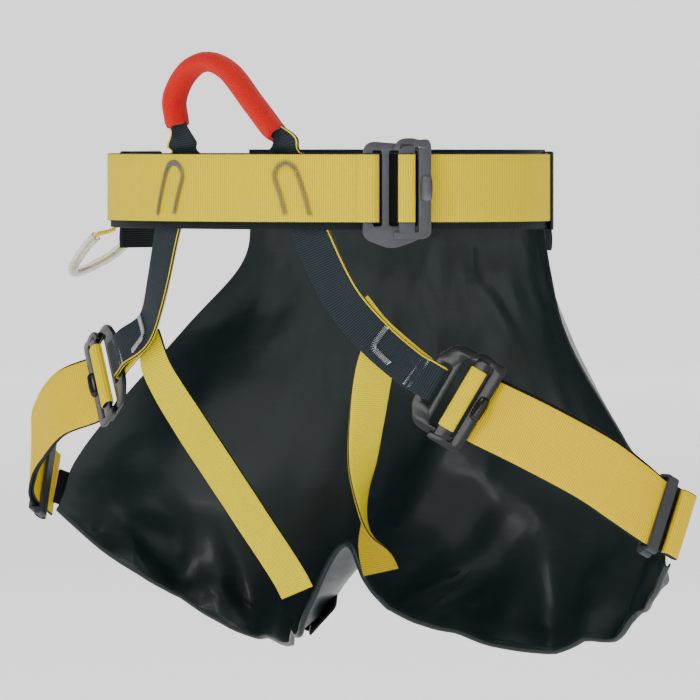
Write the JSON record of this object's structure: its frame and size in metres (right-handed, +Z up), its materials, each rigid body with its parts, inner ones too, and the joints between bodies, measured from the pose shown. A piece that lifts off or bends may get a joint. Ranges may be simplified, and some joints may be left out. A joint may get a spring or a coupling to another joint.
{
  "type": "climbing harness",
  "caption": "Sit harness for wet canyons: a buckled waist belt and adjustable leg loops of two-colour webbing, a padded tie-in loop, a gear loop and a coated seat protector cupping the thighs.",
  "frame": {"origin": "centre of the waist ring, at the middle of the belt's height", "axes": "+X to the wearer's left, -Y to the front, +Z up"},
  "size_m": [0.521, 0.267, 0.3997],
  "materials": {
    "yellow_webbing": "ribbed woven polyester webbing",
    "black_webbing": "ribbed woven polyester webbing, yellow edge lines",
    "red_sheath": "tubular woven sheath",
    "protector_pvc": "satin PVC-coated fabric",
    "waist_buckle_metal": "satin dark grey coating",
    "leg_buckle_metal": "glossy black coating",
    "keeper_rubber": "matt moulded rubber",
    "clear_tube": "clear flexible plastic tube",
    "bar_tack_thread": "dense zigzag thread"
  },
  "bodies": {
    "harness": {"belt_bar_tack_left": "bar_tack_thread", "belt_bar_tack_right": "bar_tack_thread", "free_strap_left": "yellow_webbing", "free_strap_right": "yellow_webbing", "hem_fold_left": "protector_pvc", "hem_fold_right": "protector_pvc", "hip_keeper_left": "keeper_rubber", "hip_keeper_right": "keeper_rubber", "inner_corner_patch_left": "protector_pvc", "inner_corner_patch_right": "protector_pvc", "inner_leg_strap_left": "yellow_webbing", "inner_leg_strap_right": "yellow_webbing", "leg_buckle_anchor_frame_left": "leg_buckle_metal", "leg_buckle_anchor_frame_right": "leg_buckle_metal", "load_strap_left": "black_webbing", "load_strap_right": "black_webbing", "outer_corner_patch_left": "protector_pvc", "outer_corner_patch_right": "protector_pvc", "protector_belt_sleeve": "protector_pvc", "rear_leg_strap_left": "yellow_webbing", "rear_leg_strap_right": "yellow_webbing", "riser_bar_tack_left": "bar_tack_thread", "riser_bar_tack_right": "bar_tack_thread", "riser_left": "black_webbing", "riser_right": "black_webbing", "seat_protector": "protector_pvc", "strap_tunnel_left": "protector_pvc", "strap_tunnel_right": "protector_pvc", "waist_belt_backing": "black_webbing", "waist_belt_webbing": "yellow_webbing", "waist_buckle_anchor_frame": "waist_buckle_metal"},
    "tie_in_loop": {"tie_in_loop_webbing": "black_webbing", "tie_in_loop_sheath": "red_sheath"},
    "gear_loop": {"gear_loop_tube": "clear_tube", "gear_loop_webbing": "yellow_webbing"},
    "waist_adjuster": {"waist_buckle_adjuster_frame": "waist_buckle_metal"},
    "waist_lock_bar": {"waist_buckle_lock_bar": "waist_buckle_metal", "waist_buckle_webbing_turn": "yellow_webbing"},
    "leg_adjuster_left": {"leg_buckle_adjuster_frame_left": "leg_buckle_metal"},
    "leg_lock_bar_left": {"leg_buckle_lock_bar_left": "leg_buckle_metal", "leg_buckle_webbing_turn_left": "yellow_webbing"},
    "keeper_left": {"leg_keeper_left": "keeper_rubber"},
    "tail_left": {"strap_tail_left": "yellow_webbing"},
    "leg_adjuster_right": {"leg_buckle_adjuster_frame_right": "leg_buckle_metal"},
    "leg_lock_bar_right": {"leg_buckle_lock_bar_right": "leg_buckle_metal", "leg_buckle_webbing_turn_right": "yellow_webbing"},
    "keeper_right": {"leg_keeper_right": "keeper_rubber"},
    "tail_right": {"strap_tail_right": "yellow_webbing"}
  },
  "joints": [
    {"name": "tie_in_loop_fold", "type": "hinge", "parent": "harness", "child": "tie_in_loop", "pos_m": [0, -0.1126, 0.026], "axis": [1, 0, 0], "range_deg": [-30, 40], "stiffness_Nm_per_rad": 0.05},
    {"name": "gear_loop_swing", "type": "hinge", "parent": "harness", "child": "gear_loop", "pos_m": [-0.147, -0.0565, -0.0315], "axis": [-0.2586, 0.9639, -0.0627], "range_deg": [-20, 60], "stiffness_Nm_per_rad": 0.03},
    {"name": "waist_buckle_tilt", "type": "hinge", "parent": "harness", "child": "waist_adjuster", "pos_m": [0.11121, -0.09054, 0], "axis": [0, 0, -1], "range_deg": [0, 20]},
    {"name": "waist_lock_slide", "type": "slide", "parent": "waist_adjuster", "child": "waist_lock_bar", "axis": [0.7987, 0.6017, 0], "range_m": [-0.0015, 0.0015]},
    {"name": "leg_buckle_tilt_left", "type": "hinge", "parent": "harness", "child": "leg_adjuster_left", "pos_m": [0.13685, -0.0613, -0.13324], "axis": [-0.4243, -0.2762, -0.8623], "range_deg": [0, 20]},
    {"name": "leg_lock_slide_left", "type": "slide", "parent": "leg_adjuster_left", "child": "leg_lock_bar_left", "axis": [0.7235, 0.4693, -0.5063], "range_m": [-0.0015, 0.0015]},
    {"name": "keeper_slide_left", "type": "slide", "parent": "harness", "child": "keeper_left", "axis": [0.1749, 0.8997, -0.3999], "range_m": [-0.003, 0.003]},
    {"name": "strap_tail_swing_left", "type": "hinge", "parent": "harness", "child": "tail_left", "pos_m": [0.24913, 0.02373, -0.21611], "axis": [-0.1048, -0.3868, -0.9162], "range_deg": [0, 35]},
    {"name": "leg_buckle_tilt_right", "type": "hinge", "parent": "harness", "child": "leg_adjuster_right", "pos_m": [-0.13685, -0.0613, -0.12324], "axis": [-0.4243, 0.2762, 0.8623], "range_deg": [0, 20]},
    {"name": "leg_lock_slide_right", "type": "slide", "parent": "leg_adjuster_right", "child": "leg_lock_bar_right", "axis": [-0.7235, 0.4693, -0.5063], "range_m": [-0.0015, 0.0015]},
    {"name": "keeper_slide_right", "type": "slide", "parent": "harness", "child": "keeper_right", "axis": [-0.1749, 0.8997, -0.3999], "range_m": [-0.003, 0.003]},
    {"name": "strap_tail_swing_right", "type": "hinge", "parent": "harness", "child": "tail_right", "pos_m": [-0.24913, 0.02373, -0.20311], "axis": [-0.1048, 0.3868, 0.9162], "range_deg": [0, 35]}
  ]
}
